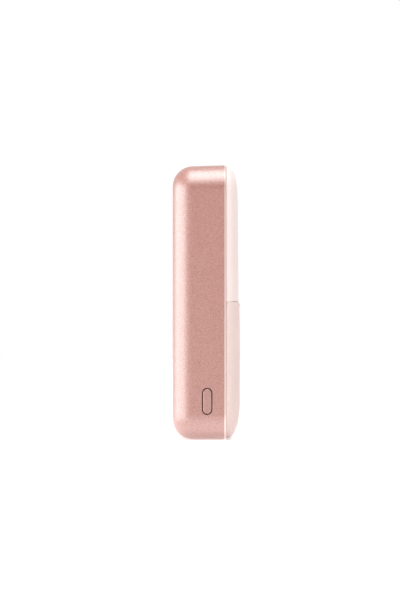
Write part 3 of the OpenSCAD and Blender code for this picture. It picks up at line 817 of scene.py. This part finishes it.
class POWERBANK_OT_stage(bpy.types.Operator):
    """White floor, soft boxes, room light and the camera"""

    bl_idname = "powerbank.stage"
    bl_label = "Studio"

    # Each soft box: its place and size in metres, its power in watts, and the
    # height on the object's axis that it looks at
    LAMPS = {
        "left box": ((-1.05, -0.26, 0.105), (1.7, 0.78), 17.2, 0.045),
        "right box": ((1.0, -0.3, 0.14), (0.85, 0.78), 3.7, 0.045),
        "top box": ((0, -0.22, 0.65), (0.45, 0.62), 4.2, 0.05),
    }

    # The floor's rings run from one radius to another in millimetres, just
    # below the object, with a point at every so many degrees
    FLOOR_REACH, FLOOR_SUNK = (60, 1500), 0.02
    FLOOR_RINGS, FLOOR_TURN = 12, 7.5

    # Y of the directions where gloss sees the room dimmest, and where it is white
    ROOM_DIM_Y, ROOM_WHITE_Y = -1.0, -0.2

    SENSOR_MM = 36
    CLIP_START, CLIP_END = 0.05, 200

    def execute(self, context):
        kit = settings("powerbank_stage")
        self.floor(kit)
        self.room(kit)
        for name, lamp in self.LAMPS.items():
            self.lamp(name, *lamp)
        self.camera(kit)
        context.scene.view_settings.view_transform = "Standard"
        return {"FINISHED"}

    def floor(self, kit):
        """Flat disc on a polar grid, wide enough for every light and shadow."""
        radius = np.geomspace(*self.FLOOR_REACH, self.FLOOR_RINGS)[:, None]
        angle = np.radians(np.arange(0, 360, self.FLOOR_TURN))
        depth = np.full((self.FLOOR_RINGS, len(angle)), -self.FLOOR_SUNK)
        grid = np.stack([radius * np.cos(angle), radius * np.sin(angle), depth], axis=-1)
        floor = skin("studio_floor", grid, True, [lambda i: i[0][::-1]])
        white = surface("floor white", kit.floor_tint, roughness=0.2, scale=40, spread=0.004)
        glow = self.seen(white.node_tree, kit.floor_glow, kit.floor_gloss)
        self.lift(white.node_tree, white.node_tree.nodes["Principled BSDF"], glow)
        floor.data.materials.append(white)

    def lift(self, tree, shader, strength):
        """Adds light of a linked strength to a material."""
        glow = tree.nodes.new("ShaderNodeEmission")
        add = tree.nodes.new("ShaderNodeAddShader")
        tree.links.new(strength, glow.inputs["Strength"])
        tree.links.new(shader.outputs["BSDF"], add.inputs[0])
        tree.links.new(glow.outputs["Emission"], add.inputs[1])
        tree.links.new(add.outputs["Shader"], tree.nodes["Material Output"].inputs["Surface"])

    def seen(self, tree, direct, gloss, least=0.0):
        """Strength that differs for the camera, for gloss and glass, and for the rest.

        gloss is a number or another node's value.
        """
        path = tree.nodes.new("ShaderNodeLightPath")
        parts = [self.share(tree, path.outputs[ray], least, full) for ray, full in (
            ("Is Camera Ray", direct), ("Is Glossy Ray", gloss), ("Is Transmission Ray", gloss))]
        total = parts[0]
        for part in parts[1:]:
            more = tree.nodes.new("ShaderNodeMath")
            more.operation = "MAXIMUM"
            tree.links.new(total, more.inputs[0])
            tree.links.new(part, more.inputs[1])
            total = more.outputs["Value"]
        return total

    def share(self, tree, ray, least, full):
        """Value from least to full as a kind of ray goes from 0 to 1."""
        span = tree.nodes.new("ShaderNodeMapRange")
        span.inputs["To Min"].default_value = least
        if isinstance(full, bpy.types.NodeSocket):
            tree.links.new(full, span.inputs["To Max"])
        else:
            span.inputs["To Max"].default_value = full
        tree.links.new(ray, span.inputs["Value"])
        return span.outputs["Result"]

    def room(self, kit):
        """White room: full white where it is seen, dimmer as a light.

        Gloss sees it darker towards -Y, the side that the soft boxes don't fill.
        """
        world = bpy.data.worlds.new("studio room")
        world.use_nodes = True
        tree = world.node_tree
        back = tree.nodes["Background"]
        back.inputs["Color"].default_value = (1, 1, 1, 1)
        place = tree.nodes.new("ShaderNodeTexCoord")
        split = tree.nodes.new("ShaderNodeSeparateXYZ")
        tree.links.new(place.outputs["Generated"], split.inputs["Vector"])
        gloss = tree.nodes.new("ShaderNodeMapRange")
        gloss.inputs["From Min"].default_value = self.ROOM_DIM_Y
        gloss.inputs["From Max"].default_value = self.ROOM_WHITE_Y
        gloss.inputs["To Min"].default_value = kit.room_dim
        tree.links.new(split.outputs["Y"], gloss.inputs["Value"])
        strength = self.seen(tree, 1.0, gloss.outputs["Result"], kit.room)
        tree.links.new(strength, back.inputs["Strength"])
        bpy.context.scene.world = world

    def lamp(self, name, place, size, watts, height):
        """Flat soft box at a place, turned to look at a height on the axis."""
        light = bpy.data.lights.new(name, "AREA")
        light.shape = "RECTANGLE"
        light.size, light.size_y = size
        light.energy = watts
        lamp = bpy.data.objects.new(name, light)
        bpy.context.scene.collection.objects.link(lamp)
        lamp.location = place
        back = lamp.location - Vector((0, 0, height))
        lamp.rotation_mode = "QUATERNION"
        lamp.rotation_quaternion = back.to_track_quat("Z", "Y")

    def camera(self, kit):
        """Level camera that looks along +Y at the button's side."""
        lens = bpy.data.cameras.new("camera")
        lens.lens = kit.lens
        lens.sensor_width = self.SENSOR_MM
        lens.clip_start, lens.clip_end = self.CLIP_START, self.CLIP_END
        camera = bpy.data.objects.new("camera", lens)
        bpy.context.scene.collection.objects.link(camera)
        away = kit.lens / lens.sensor_width * kit.view_h
        camera.location = (-kit.camera_x, -HALF_W * MM - away, kit.camera_z)
        camera.rotation_euler = (math.radians(90), 0, 0)
        bpy.context.scene.camera = camera


OPERATORS = (
    POWERBANK_OT_front_shell,
    POWERBANK_OT_back_cover,
    POWERBANK_OT_stand,
    POWERBANK_OT_button,
    POWERBANK_OT_fittings,
    POWERBANK_OT_board,
    POWERBANK_OT_cells,
    POWERBANK_OT_stage,
)


class POWERBANK_PT_panel(bpy.types.Panel):
    """Sizes, colours and pieces of the power bank"""

    bl_idname = "POWERBANK_PT_panel"
    bl_label = "Power Bank"
    bl_space_type = "VIEW_3D"
    bl_region_type = "UI"
    bl_category = "Power Bank"

    def draw(self, context):
        for name, group in GROUPS.items():
            box = self.layout.box()
            box.label(text=group.__doc__)
            for prop in group.__annotations__:
                box.prop(getattr(context.scene, name), prop)
        for operator in OPERATORS:
            self.layout.operator(operator.bl_idname)


GROUPS = {
    "powerbank_shell": PowerBankShell,
    "powerbank_back": PowerBankBack,
    "powerbank_stage": PowerBankStage,
}


def register():
    for kind in (*GROUPS.values(), *OPERATORS, POWERBANK_PT_panel):
        bpy.utils.register_class(kind)
    for name, group in GROUPS.items():
        setattr(bpy.types.Scene, name, bpy.props.PointerProperty(type=group))


def unregister():
    for name in GROUPS:
        delattr(bpy.types.Scene, name)
    for kind in (POWERBANK_PT_panel, *reversed(OPERATORS), *reversed(list(GROUPS.values()))):
        bpy.utils.unregister_class(kind)


def main():
    """Builds every piece and the studio in order."""
    register()
    bpy.ops.powerbank.front_shell()
    bpy.ops.powerbank.back_cover()
    bpy.ops.powerbank.stand()
    bpy.ops.powerbank.button()
    bpy.ops.powerbank.fittings()
    bpy.ops.powerbank.board()
    bpy.ops.powerbank.cells()
    bpy.ops.powerbank.stage()


if __name__ == "__main__":
    main()
